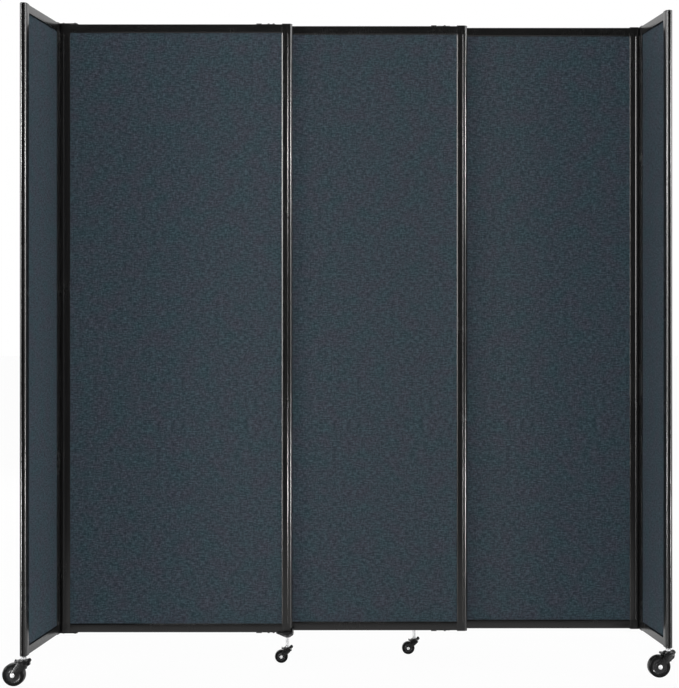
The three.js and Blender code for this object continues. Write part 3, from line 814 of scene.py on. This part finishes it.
def hinge(wing):
    """A full-height hinge between the panel's nose and the wing's nose."""
    swing, _, x, y, degrees = PANELS[wing]
    fixed = "front_panel" if wing == "left_wing" else "rear_panel"
    towards_panel = 0.0 if wing == "left_wing" else 180.0
    for first, body, turn, word in ((0, fixed, towards_panel, "panel"), (1, swing, degrees, "wing")):
        place = standing(x, y, turn)
        strip = bmesh.new()
        mouth = HINGE_REACH + HALF - math.sqrt(HALF**2 - NOSE_GROOVE_HALF**2)
        key = HINGE_REACH + NOSE_GROOVE - GAP
        half = [(5.0, -LEAF_HALF), (mouth, -LEAF_HALF), (mouth, -LEAF_KEY_HALF), (key, -LEAF_KEY_HALF)]
        plate(strip, half + mirrored(half), BOTTOM, TOP)
        neck = [(0.5, -LEAF_HALF), (5.4, -LEAF_HALF), (5.4, LEAF_HALF), (0.5, LEAF_HALF)]
        for k in range(first, KNUCKLES, 2):
            low = BOTTOM + k * KNUCKLE + KNUCKLE_GAP / 2
            plate(strip, neck, low, low + KNUCKLE - KNUCKLE_GAP)
        if word == "panel":
            run = 4.0 if wing == "left_wing" else 0.0
            foot, head, tip = BOTTOM - run, TOP + run, 1.2
            pin = [(0.0, foot - tip), (2.0, foot - tip), (HINGE_PIN, foot)]
            pin += [(HINGE_PIN, head), (2.0, head + tip), (0.0, head + tip)]
            turned(strip, pin, steps=20)
        nodes = [f"{wing}_hinge_leaf_on_{word}"]
        finished(f"{wing}_{word}_leaf", strip, FRAME_BLACK, body, place, nodes)
        given = {
            "Barrels": KNUCKLES // 2,
            "Pitch": 2 * KNUCKLE * MM,
            "Length": (KNUCKLE - KNUCKLE_GAP) * MM,
            "Radius": HINGE_BARREL,
            "First height": (BOTTOM + (first + 0.5) * KNUCKLE) * MM,
            "Axis X": x,
            "Axis Y": y,
        }
        grown(f"{wing}_{word}_barrels", BARRELS, [(0, 0, 0)], given, FRAME_BLACK, body, nodes)


def strap(level):
    """The flat strap over the front panel's hinge."""
    outline = arc(-21.0, 0.0, 10.0, 90.0, 270.0, 14)
    outline += [(62.5, -10.0), (64.0, -8.5), (64.0, 8.5), (62.5, 10.0)]
    above, below = TOP + GAP, BOTTOM - GAP
    low, high = (above, above + STRAP_THICK) if level == "top" else (below - STRAP_THICK, below)
    shape = plate(bmesh.new(), outline, low, high, soften=0.7)
    place, nodes = panel_place("front"), [f"left_hinge_strap_{level}"]
    finished(f"left_strap_{level}", shape, PAINT, "front_panel", place, nodes)


def screws(name, panel, spots, level, rise):
    """Round-headed screws on a surface at the given distance above the panel or below it."""
    body = PANELS[panel][0]
    way = 1.0 if level == "top" else -1.0
    z = (TOP if level == "top" else BOTTOM) + way * rise
    place = panel_place(panel)
    points = [tuple(place @ Vector((x, y, z))) for x, y in spots]
    turn = (0.0, 0.0, 0.0) if level == "top" else (math.pi, 0.0, 0.0)
    grown(name, SCREWS, points, {"Screw": PAN, "Turn": turn, "Spin": 3.0, "Seed": 7}, SCREW, body)


def face_screw(name, panel, x, z):
    """One screw in the front of an upright, over the line that runs up it."""
    point = tuple(panel_place(panel) @ Vector((x, -HALF, z)))
    given = {"Screw": PAN, "Turn": (math.pi / 2, 0.0, 0.0), "Spin": 3.0, "Seed": 3}
    grown(name, SCREWS, [point], given, SCREW, PANELS[panel][0])


def guide(owner, other, level):
    """A sliding guide: a nylon plate over two neighbouring rails, with a rib into each."""
    node = f"{owner}_guide_over_{other}_{level}"
    (x0, y0, z0), (x1, y1, z1) = ([number * 1000 for number in corner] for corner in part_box(node))
    seat, away = (TOP + GAP, 1.0) if level == "top" else (BOTTOM - GAP, -1.0)
    thick = z1 - seat if level == "top" else seat - z0
    spans = (seat, seat + thick) if level == "top" else (seat - thick, seat)
    shape = plate(bmesh.new(), oblong(x0, y0, x1, y1, 2.0), *spans, soften=0.8)
    middle = (y0 + y1) / 2
    for y in (middle - GUIDE_RIB, middle + GUIDE_RIB):
        near, far = y - 1.7, y + 1.7
        rib = rounded([(near, 0.0, 0.0), (far, 0.0, 0.0), (far, -6.0, 0.8), (near, -6.0, 0.8)], 2)
        plate(shape, [(v, seat + away * w) for v, w in rib], x0 + 0.5, x1 - 0.5, axes="yzx")
    place = Matrix.Scale(MM, 4)
    finished(f"{owner}_slider_to_{other}_{level}", shape, NYLON, PANELS[owner][0], place, [node])


# ---------------------------------------------------------------- casters and their brackets

# The wheel and its axle, the fork, the stem, and the brake lever with its knob and pad.
SIZES = {
    "end": dict(
        wheel=76.0, width=30.0, hub=30.0, edge=5.0, recess=4.0, tyre=11.0, axle=10.0, axle_end=4.0,
        trail=33.5, arm=3.0, arm_back=16.0, foot=18.0, crown_back=30.0, corner=9.0, rise=4.0, crown=4.0,
        bell=36.0, bell_rise=5.0, tab_wide=12.0, tab_rise=4.0, tab=3.0,
        stem=10.0, stem_length=29.0, collar=18.0, collar_thick=8.0, head=15.0, head_thick=3.0,
        barrel=8.0, pin=4.0, forward=11.0, ear=5.5, lever=3.0, lever_wide=16.0,
        knob=13.6, knob_forward=0.8, knob_rise=1.5, pad_gap=0.6,
    ),
    "middle": dict(
        wheel=46.0, width=18.0, hub=17.0, edge=3.0, recess=2.5, tyre=7.0, axle=7.0, axle_end=3.0,
        trail=21.5, arm=2.5, arm_back=11.0, foot=12.0, crown_back=21.0, corner=6.0, rise=4.0, crown=3.0,
        bell=24.0, bell_rise=4.0, tab_wide=8.0, tab_rise=3.0, tab=2.4,
        stem=11.0, stem_length=36.0, collar=14.0, collar_thick=4.0, head=14.0, head_thick=2.4,
        barrel=6.0, pin=3.0, forward=7.0, ear=4.2, lever=2.4, lever_wide=10.0,
        knob=11.2, knob_forward=3.0, knob_rise=4.5, pad_gap=0.5,
    ),
}
SIDE_PLAY = 1.2  # from the wheel to either arm of the fork
LOOSE = 0.35  # round a pin that something turns on
PAD_AHEAD = 25.0  # degrees that the brake pad stands off the line from the lever's pin to the axle


def caster(name):
    """A swivel caster: a stem on its holder, and a fork, a wheel and a brake lever that each turn."""
    holder, c = CASTERS[name][0], SIZES[CASTERS[name][-1]]
    place = caster_place(name)
    radius = c["wheel"] / 2
    inside = c["width"] / 2 + SIDE_PLAY
    outside = inside + c["arm"]
    crown_low = c["wheel"] + c["rise"]
    crown_high = crown_low + c["crown"]
    head_low = crown_low - GAP - c["head_thick"]
    pivot_x, pivot_z = c["forward"], head_low - c["barrel"] / 2 - 1.2
    pivot, hub_centre = (pivot_x, 0.0, pivot_z), (-c["trail"], 0.0, radius)
    front = pivot_x + c["ear"]
    swivel, rolling, brake = f"{name}_swivel", f"{name}_wheel", f"{name}_brake"

    # The stem: a plated pin with a collar under its socket and a riveted head under the crown.
    bell_high = crown_high + c["bell_rise"]
    thin, collar_low = c["stem"] / 2, bell_high + GAP
    collar_high = collar_low + c["collar_thick"]
    big, soft, head = c["collar"] / 2, 0.8, c["head"] / 2
    tip = collar_high + c["stem_length"]
    outline = [
        (0.0, head_low), (head - 1.2, head_low), (head, head_low + 1.0), (head, crown_low - GAP),
        (thin, crown_low - GAP), (thin, collar_low), (big - soft, collar_low), (big, collar_low + soft),
        (big, collar_high - 1.4), (big - 1.4, collar_high), (thin + 1.2, collar_high + 0.4),
        (thin, collar_high + 1.4), (thin, tip - 1.0), (thin - 1.0, tip), (0.0, tip),
    ]
    stem = turned(bmesh.new(), outline, steps=40)
    finished(f"{name}_pin", stem, CHROME_WITH_PAINTED_GLINT, holder, place, [f"{name}_stem"])

    # The fork: a crown plate with the domed housing of the swivel, notched in front for the pedal,
    # a tab behind, two arms that narrow to the axle, and the pedal's riveted pin.
    plan = oblong(-c["crown_back"], -outside, front, outside, c["corner"], 6)
    crown = plate(bmesh.new(), plan, crown_low, crown_high, soften=1.0)
    bell, shoulder = c["bell"] / 2, 3.0
    dome = [(0.0, crown_low + 1.0), (bell, crown_low + 1.0), (bell, bell_high - shoulder)]
    dome += arc(bell - shoulder, bell_high - shoulder, shoulder, 15.0, 90.0, 6) + [(0.0, bell_high)]
    turned(crown, dome, steps=56)
    beside, behind = c["lever_wide"] / 2 + 1.2, front + c["knob_forward"] - c["knob"] / 2 - 1.2
    past = behind + 40.0
    notch = [(behind, -beside, 1.5), (past, -beside, 0.0), (past, beside, 0.0), (behind, beside, 1.5)]
    low, high, hole = crown_low - 3.0, bell_high + 3.0, thin + LOOSE
    cutter = plate(bmesh.new(), rounded(notch, 5), low, high)
    turned(cutter, [(0.0, low), (hole, low), (hole, high), (0.0, high)], steps=40)
    fork = carved(crown, cutter)
    wide, back, tab_high = c["tab_wide"] / 2, -c["crown_back"], crown_high + c["tab_rise"]
    tab = [(-wide, crown_low, 0.5), (wide, crown_low, 0.5), (wide, tab_high, 2.0), (-wide, tab_high, 2.0)]
    plate(fork, rounded(tab, 5), back, back + c["tab"], axes="yzx", soften=0.8)
    pin = c["pin"] / 2
    rivet = [(0.0, -outside - 1.2), (pin + 0.6, -outside - 1.2), (pin + 1.2, -outside - 0.5)]
    rivet += [(pin + 1.2, -outside + 0.1), (pin, -outside + 0.1)]
    rivet += [(r, -h) for r, h in reversed(rivet)]
    turned(fork, rivet, "y", pivot, 20)
    slant = math.atan2(radius - crown_high, -c["trail"])
    foot, ear = c["foot"] / 2, c["ear"] * math.sqrt(0.5)
    start = math.degrees(slant + math.pi / 2 + math.pi)
    arm = [(front, crown_high - 0.6), (-c["arm_back"], crown_high - 0.6)]
    arm += arc(-c["trail"], radius, foot, start, start + 180.0, 20)
    arm += [(pivot_x + ear, pivot_z - ear), (front, pivot_z)]
    for low, high in ((inside, outside), (-outside, -inside)):
        plate(fork, arm, low, high, axes="xzy", soften=0.7)
        boss = (outside - 0.4, outside + 1.2) if low > 0 else (-outside - 1.2, -outside + 0.4)
        plate(fork, arc(-c["trail"], radius, foot - 1.5, 0.0, 345.0, 23), *boss, axes="xzy", soften=0.5)
    finished(f"{name}_yoke", fork, PAINT, swivel, place, [f"{name}_fork"])

    # The axle: a plated bolt through the arms with a washer and a hexagon at each end.
    half_axle, washer = c["axle"] / 2, c["axle"] * 0.78
    bolt = [(0.0, -outside), (half_axle, -outside), (half_axle, outside), (0.0, outside)]
    axle = turned(bmesh.new(), bolt, "y", hub_centre, 24)
    for way in (-1.0, 1.0):
        face = way * (outside + 1.2)
        back = face + way * 0.9
        ring = [(0.0, face), (washer - 0.3, face), (washer, face + way * 0.4)]
        ring += [(washer - 0.3, back), (0.0, back)]
        turned(axle, ring, "y", hub_centre, 32)
        hexagon = arc(-c["trail"], radius, c["axle"] * 0.62, 0.0, 300.0, 5)
        low, high = sorted((back, way * (outside + c["axle_end"] + 0.6)))
        plate(axle, hexagon, low, high, axes="xzy", soften=0.5)
    finished(f"{name}_axle_bolt", axle, ZINC_WITH_PAINTED_GLINT, swivel, place, [f"{name}_fork"])

    # The wheel: a rubber tread on a dished core.
    half, edge, rim = c["width"] / 2, c["edge"], radius - c["tyre"]
    hub, bore = c["hub"] / 2, half_axle + LOOSE
    web = half - c["recess"]
    tread = [(rim, -half + 0.6), (rim + 0.6, -half), (radius - edge, -half)]
    tread += arc(radius - edge, -half + edge, edge, -80.0, -8.0, 6)
    far_side = [(r, -h) for r, h in reversed(tread[:-1])]
    tread += [(radius, -half + edge + 0.4), (radius, half - edge - 0.4)] + far_side
    shape = turned(bmesh.new(), tread, "y", hub_centre, 72)
    finished(f"{name}_tyre", shape, TYRE, rolling, place, [f"{name}_wheel"])
    core = [(bore, -half), (hub - 0.8, -half), (hub, -half + 0.8), (hub + 0.6, -web - 0.6), (hub + 1.6, -web)]
    core += [(rim - 2.6, -web), (rim - 1.6, -web - 0.6), (rim - 1.0, -half + 0.9)]
    core += [(rim - 0.4, -half + 0.3), (rim + 0.02, -half + 0.9)]
    core += [(r, -h) for r, h in reversed(core)]
    shape = turned(bmesh.new(), core, "y", hub_centre, 72)
    finished(f"{name}_core", shape, WHEEL_CORE, rolling, place, [f"{name}_wheel"])

    # The brake lever: a barrel on its pin, an upright with a round knob, and a pad over the wheel.
    width = inside - 0.8
    thick, wall = c["lever"], c["pin"] / 2 + 0.9
    hole, skin = c["pin"] / 2 + LOOSE, c["barrel"] / 2
    barrel = [(hole, -width), (skin - 0.4, -width), (skin, -width + 0.4)]
    barrel += [(r, -h) for r, h in reversed(barrel)]
    lever = turned(bmesh.new(), barrel, "y", pivot, 28)
    arm_end = pivot_x + c["ear"] + 1.2 + thick
    wide, bulb = c["lever_wide"] / 2, c["knob"] / 2
    bulb_x, bulb_z = front + c["knob_forward"], crown_high + c["knob_rise"]
    first = -math.degrees(math.acos((arm_end - bulb_x) / bulb))
    last = 360.0 - math.degrees(math.acos((arm_end - thick - bulb_x) / bulb))
    upper, lower = pivot_z + thick / 2, pivot_z - thick / 2
    heel = [(arm_end - thick, upper, 0.8), (pivot_x + wall, upper, 0.3), (pivot_x + wall, lower, 0.3)]
    heel = rounded(heel + [(arm_end, lower, thick), (arm_end, pivot_z + thick, 0.0)], 5)
    pedal = heel + arc(bulb_x, bulb_z, bulb, first, last, 26)
    plate(lever, pedal, -wide, wide, axes="xzy", soften=0.9)
    to_wheel = math.hypot(pivot_x + c["trail"], pivot_z - radius)
    aim = math.atan2(radius - pivot_z, -c["trail"] - pivot_x) + math.radians(PAD_AHEAD)
    length = to_wheel - radius - c["pad_gap"]
    shoe = length - thick
    pad = [(wall, -thick / 2, 0), (shoe, -thick / 2, 0.4), (shoe, -thick, 0.5), (length, -thick, 0.7)]
    pad = rounded(pad + [(u, -v, soft) for u, v, soft in reversed(pad)], 3)
    cosine, sine = math.cos(aim), math.sin(aim)
    pad = [(pivot_x + u * cosine - v * sine, pivot_z + u * sine + v * cosine) for u, v in pad]
    plate(lever, pad, -width, width, axes="xzy", soften=0.4)
    finished(f"{name}_pedal", lever, PAINT, brake, place, [f"{name}_brake_lever"])


def bracket(name, panel, side):
    """The pressed bracket under a panel's corner. Its lip deepens towards the stem that it holds."""
    body, width, x, y, _ = PANELS[panel]
    edge = x + (width * MM if side < 0 else 0.0)
    place = standing(edge, y, 0.0 if side < 0 else 180.0) @ Matrix.Translation((0.0, 0.0, BOTTOM))
    shape = bmesh.new()
    inboard, outboard, stem_x, stem_y = -58.0, 4.5, -16.0, -HALF - 25.0
    nose, low, lip_thick = stem_y - 13.0, -10.5 - GAP, 3.0
    seat = [(inboard, -HALF, 0.0), (stem_x - 7.0, nose, 5.0), (stem_x + 7.0, nose, 5.0)]
    seat += [(outboard, stem_y, 4.0), (outboard, -HALF, 0.0)]
    skirt = rounded(seat, 6)
    floor_plate = rounded(seat[:-1] + [(outboard, 8.0, 1.5), (inboard, 8.0, 1.5)], 6)
    plate(shape, floor_plate, -BRACKET_THICK - GAP, -GAP, soften=0.6)

    def depth(x):
        """How low the lip hangs at a place along the panel."""
        rise = max(0.0, (stem_x - 7.0 - x) / (stem_x - 7.0 - inboard), (x + 3.0) / (outboard + 3.0))
        return low + (-BRACKET_THICK - GAP - low) * min(rise, 1.0)

    rings = []
    for (ox, oy), (ix, iy) in zip(skirt, shrunk(skirt, lip_thick)):
        bottom = depth(ox)
        chamfer = (ox * 0.85 + ix * 0.15, oy * 0.85 + iy * 0.15, bottom)
        rings.append([(ox, oy, -1.0), (ox, oy, bottom + 0.5), chamfer, (ix, iy, bottom), (ix, iy, -1.0)])
    loft(shape, rings)
    boss = [(0.0, low), (10.2, low), (11.0, low + 0.8), (11.0, -1.0), (0.0, -1.0)]
    turned(shape, boss, "z", (stem_x, stem_y, 0.0), 40)
    behind = -HALF - 17.0
    cheek = [(behind, -4.3, 0.5), (0.0, -4.3, 0.5), (0.0, 14.0, 3.0), (behind, 14.0, 8.0)]
    plate(shape, rounded(cheek, 5), GAP, outboard, axes="yzx", soften=0.7)
    # The bracket's grey finish is painted reflection.
    finished(f"{name}_carrier", shape, PAINTED_REFLECTION_GREY, body, place, [f"{name}_bracket"])


# ---------------------------------------------------------------- the screen

# The uprights' ends that have a strap or a bracket, and so no plug.
covered = {
    "front": {("left", "top"), ("left", "bottom"), ("right", "bottom")},
    "rear": {("left", "bottom")},
}
for name in PANELS:
    upright(name, -1)
    upright(name, 1)
    rail(name, "top")
    rail(name, "bottom")
    fabric(name)
    end_caps(name, covered.get(name, set()))

for wing in ("left_wing", "right_wing"):
    hinge(wing)
for level in ("top", "bottom"):
    strap(level)
    screws(f"left_strap_screws_{level}", "front", [(12.6, 0.0), (54.0, 0.0)], level, GAP + STRAP_THICK)
    for near, far in (("front", "middle"), ("middle", "rear")):
        guide(near, far, level)
        guide(far, near, level)
    screws(f"front_slider_screws_{level}", "front", [(750.0, 6.0), (768.0, 6.0)], level, GAP + GUIDE_THICK)
    screws(f"middle_slider_screws_{level}", "middle", [(755.0, 6.0)], level, GAP + GUIDE_THICK)
    screws(f"rear_end_screws_{level}", "rear", [(737.0, 6.0), (755.0, 6.0)], level, 0.0)
under_bracket = GAP + BRACKET_THICK
screws("front_carrier_screws", "front", [(PANEL - 50.0, -2.0), (PANEL - 36.0, -2.0)], "bottom", under_bracket)
screws("rear_carrier_screws", "rear", [(50.0, 2.0), (36.0, 2.0)], "bottom", under_bracket)
for wing, width in (("left_wing", LEFT_WING), ("right_wing", RIGHT_WING)):
    for level in ("top", "bottom"):
        screws(f"{wing}_corner_screw_{level}", wing, [(width - POST - 9.0, 0.0)], level, 0.0)
face_screw("front_right_upright_screw", "front", PANEL - POST + FACE_GROOVE, 2208.0)
for name in CASTERS:
    caster(name)
bracket("front_caster", "front", -1)
bracket("rear_caster", "rear", 1)

bpy.data.objects.remove(PAN)


# ---------------------------------------------------------------- floor, light and camera


def pale_floor():
    """Paper that is white to the camera, apart from a trace of the screen's shadow. What it gives the
    frame's lower parts to mirror ends a little way in front of the screen."""
    make = Finish("pale floor")
    away = make.part(make.place(), 1)
    near = make.fade(away, -2.5, -1.9, 0.06, 0.62)
    behind = make.fade(away, 0.3, 0.8, 0.0, 0.38)
    seen, mirrored_ray = make.rays()
    paper = make.node("ShaderNodeBsdfDiffuse", {}, {"Color": (0.9, 0.9, 0.9, 1)})
    glow = make.blend(seen + mirrored_ray * (near + behind), (0, 0, 0, 1), (1, 1, 1, 1))
    white = make.node("ShaderNodeEmission", {}, {"Color": glow, "Strength": 1.0})
    mixed = make.node("ShaderNodeMixShader", {}, {0: 0.97 * seen.most(mirrored_ray), 1: paper, 2: white})
    make.node("ShaderNodeOutputMaterial", {}, {"Surface": mixed})
    return make.material


# The camera, in metres from the front panel's left edge, and the lamps' radiance.
EYE_RIGHT, EYE_AWAY, EYE_HEIGHT = 1.060991, 5.755985, 1.253
LENS, SHIFT = 83.72, (-0.0225, -0.0465)
FACE_LIGHT, SIDE_LIGHT = 14.8, 19.5


def studio():
    """The floor, the white room round it, the lamps and the camera."""
    floor_mesh = bpy.data.meshes.new("floor")
    floor_mesh.from_pydata([(-30, -20, 0), (30, -20, 0), (30, 40, 0), (-30, 40, 0)], [], [(0, 1, 2, 3)])
    floor_mesh.materials.append(pale_floor())
    floor = bpy.data.objects.new("floor", floor_mesh)
    bpy.context.scene.collection.objects.link(floor)

    # A white room behind the screen. The gloss mirrors a dim one before it, with a tall bright panel
    # of light on each side and a bright wall at either end.
    world = bpy.data.worlds.new("studio")
    bpy.context.scene.world = world
    make = Finish("", world)
    seen, mirrored_ray = make.rays()
    way = make.node("ShaderNodeTexCoord", out="Generated")
    sideways, depth = make.part(way, 0), make.part(way, 1)
    behind = make.fade(depth, -0.1, 0.25, 0.0, 1.0)
    slant, before = sideways / depth, 1 - depth.over(0.0)

    def between(slope, start, end):
        """1 where a mirrored ray runs off the middle by an angle between the two, in degrees."""
        start, end = math.tan(math.radians(start)), math.tan(math.radians(end))
        return slope.over(start) * (1 - slope.over(end)) * before

    left_panel, right_panel = between(slant, 38.0, 53.0), between(0 - slant, 62.0, 71.0)
    walls = sideways.size().over(0.96)
    room = 0.1 + 0.9 * behind
    mirrored_light = mirrored_ray * (room + 14.0 * left_panel + 9.0 * right_panel + 6.0 * walls)
    soft = (1 - seen.most(mirrored_ray)) * 0.2
    level = {0: (1.0, 1.0, 1.0), "Scale": seen + mirrored_light + soft}
    bright = make.node("ShaderNodeVectorMath", {"operation": "SCALE"}, level)
    sky = make.node("ShaderNodeBackground", {}, {"Color": bright, "Strength": 1.0})
    make.node("ShaderNodeOutputWorld", {}, {"Surface": sky})

    def softbox(name, at, aim, size, radiance, streak=False):
        """A soft light. A streak shows only in the gloss, the others only light the colours."""
        light = bpy.data.lights.new(name, "AREA")
        light.shape, light.size, light.size_y = "RECTANGLE", size[0], size[1]
        light.energy = radiance * math.pi * size[0] * size[1]
        lamp = bpy.data.objects.new(name, light)
        lamp.location = at
        lamp.rotation_euler = (Vector(aim) - Vector(at)).to_track_quat("-Z", "Y").to_euler()
        lamp.visible_glossy, lamp.visible_diffuse = streak, not streak
        bpy.context.scene.collection.objects.link(lamp)

    for facing, word in ((-1, "front"), (1, "back")):
        softbox(f"{word} softbox", (0.0, facing * 7.2, 1.9), (0.0, 0.1, 1.2), (2.4, 2.2), FACE_LIGHT)
    for side, word in ((-1, "left"), (1, "right")):
        softbox(f"{word} softbox", (side * 7.5, -1.3, 1.6), (0.0, 0.0, 1.2), (2.2, 2.6), SIDE_LIGHT)
        x, y = side * 2.95, -1.6
        for at, z, tall, radiance in (("high", 2.18, 0.5, 80.0), ("low", 0.26, 0.4, 90.0)):
            softbox(f"{word} {at} streak", (x, y, z), (0.0, 0.1, z), (0.5, tall), radiance, True)

    lens = bpy.data.cameras.new("camera")
    lens.sensor_width, lens.lens = 36.0, LENS
    lens.shift_x, lens.shift_y = SHIFT
    lens.clip_end = 200.0
    camera = bpy.data.objects.new("camera", lens)
    x, y = panel_spot("front")
    camera.location = (x + EYE_RIGHT, y - EYE_AWAY, EYE_HEIGHT)
    camera.rotation_euler = (math.pi / 2, 0.0, 0.0)
    bpy.context.scene.collection.objects.link(camera)
    bpy.context.scene.camera = camera
    bpy.context.scene.view_settings.view_transform = "Standard"


studio()
